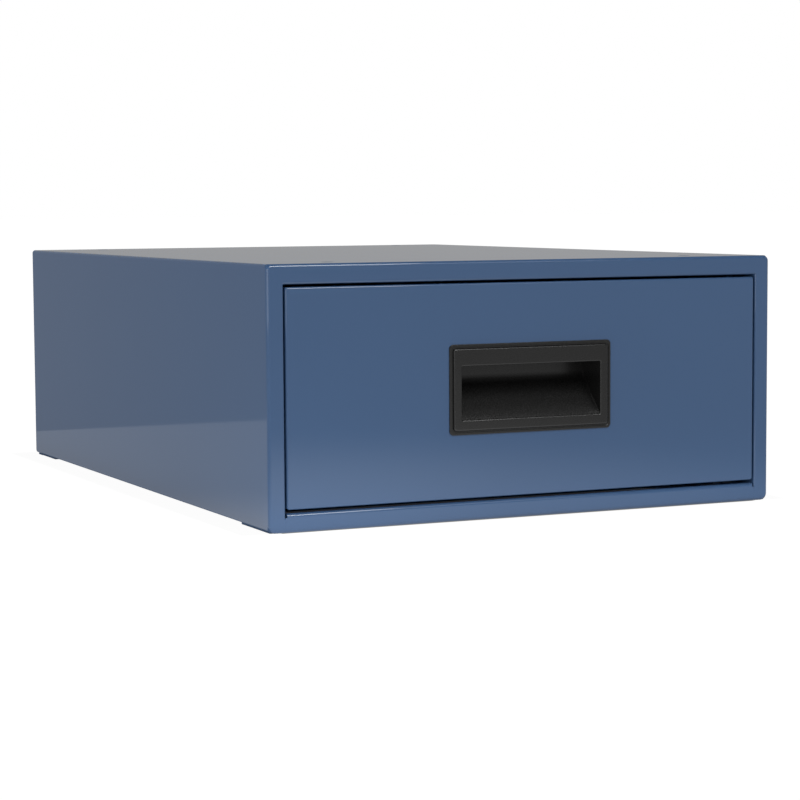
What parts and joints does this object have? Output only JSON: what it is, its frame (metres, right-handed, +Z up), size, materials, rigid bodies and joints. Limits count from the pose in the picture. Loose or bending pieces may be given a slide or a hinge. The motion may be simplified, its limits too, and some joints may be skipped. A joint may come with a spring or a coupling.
{
  "type": "steel drawer box",
  "caption": "Low deep powder-coated steel box with an inset drawer on full-extension ball-bearing slides and a black moulded flush pull; bolts up under a bench or counter.",
  "frame": {"origin": "middle of the underside, under the centre of the whole box", "axes": "+Z up, the drawer opens towards -Y, +X to the right of someone facing the drawer"},
  "size_m": [0.39, 0.5572, 0.178],
  "materials": {
    "blue_powder_coat": "gloss powder coat",
    "tray_powder_coat": "gloss powder coat",
    "black_abs": "fine moulded texture",
    "bracket_steel": "galvanised",
    "zinc_plate": "bright zinc plate",
    "cage_steel": "zinc plate",
    "ball_steel": "polished",
    "lever_plastic": "moulded",
    "fastener_zinc": "zinc plate",
    "buffer_rubber": "matt"
  },
  "bodies": {
    "cabinet": {"cabinet_shell": "blue_powder_coat", "front_bottom_rail": "blue_powder_coat", "rear_bottom_rail": "blue_powder_coat", "back_panel": "blue_powder_coat", "slide_bracket_left": "bracket_steel", "slide_bracket_right": "bracket_steel", "slide_outer_left": "zinc_plate", "slide_outer_right": "zinc_plate", "bracket_screws": "fastener_zinc", "slide_buffers": "buffer_rubber"},
    "drawer": {"drawer_front": "blue_powder_coat", "drawer_tray": "tray_powder_coat", "drawer_back": "tray_powder_coat", "drawer_inner_front": "tray_powder_coat", "pull_handle": "black_abs", "slide_inner_left": "zinc_plate", "slide_inner_right": "zinc_plate", "tray_rivets": "fastener_zinc", "face_screws": "fastener_zinc", "lever_pins": "fastener_zinc"},
    "slide_middle_left": {"slide_middle_left": "zinc_plate"},
    "outer_cage_left": {"ball_cage_outer_left": "cage_steel", "balls_outer_left": "ball_steel"},
    "inner_cage_left": {"ball_cage_inner_left": "cage_steel", "balls_inner_left": "ball_steel"},
    "release_lever_left": {"release_lever_left": "lever_plastic"},
    "slide_middle_right": {"slide_middle_right": "zinc_plate"},
    "outer_cage_right": {"ball_cage_outer_right": "cage_steel", "balls_outer_right": "ball_steel"},
    "inner_cage_right": {"ball_cage_inner_right": "cage_steel", "balls_inner_right": "ball_steel"},
    "release_lever_right": {"release_lever_right": "lever_plastic"}
  },
  "joints": [
    {"name": "drawer_slide", "type": "slide", "parent": "cabinet", "child": "drawer", "axis": [0, -1, 0], "range_m": [0, 0.5]},
    {"name": "slide_middle_left_travel", "type": "slide", "parent": "cabinet", "child": "slide_middle_left", "axis": [0, -1, 0], "range_m": [0, 0.25]},
    {"name": "outer_cage_left_travel", "type": "slide", "parent": "cabinet", "child": "outer_cage_left", "axis": [0, -1, 0], "range_m": [0, 0.125]},
    {"name": "inner_cage_left_travel", "type": "slide", "parent": "cabinet", "child": "inner_cage_left", "axis": [0, -1, 0], "range_m": [0, 0.375]},
    {"name": "release_lever_left_pivot", "type": "hinge", "parent": "drawer", "child": "release_lever_left", "pos_m": [-0.1711, -0.02135, 0.06], "axis": [1, 0, 0], "range_deg": [-8, 0], "stiffness_Nm_per_rad": 0.05},
    {"name": "slide_middle_right_travel", "type": "slide", "parent": "cabinet", "child": "slide_middle_right", "axis": [0, -1, 0], "range_m": [0, 0.25]},
    {"name": "outer_cage_right_travel", "type": "slide", "parent": "cabinet", "child": "outer_cage_right", "axis": [0, -1, 0], "range_m": [0, 0.125]},
    {"name": "inner_cage_right_travel", "type": "slide", "parent": "cabinet", "child": "inner_cage_right", "axis": [0, -1, 0], "range_m": [0, 0.375]},
    {"name": "release_lever_right_pivot", "type": "hinge", "parent": "drawer", "child": "release_lever_right", "pos_m": [0.1711, -0.02135, 0.06], "axis": [1, 0, 0], "range_deg": [0, 8], "stiffness_Nm_per_rad": 0.05}
  ],
  "couplings": [
    {"joint": "slide_middle_left_travel", "follows": "drawer_slide", "ratio": 0.5},
    {"joint": "outer_cage_left_travel", "follows": "drawer_slide", "ratio": 0.25},
    {"joint": "inner_cage_left_travel", "follows": "drawer_slide", "ratio": 0.75},
    {"joint": "slide_middle_right_travel", "follows": "drawer_slide", "ratio": 0.5},
    {"joint": "outer_cage_right_travel", "follows": "drawer_slide", "ratio": 0.25},
    {"joint": "inner_cage_right_travel", "follows": "drawer_slide", "ratio": 0.75}
  ]
}
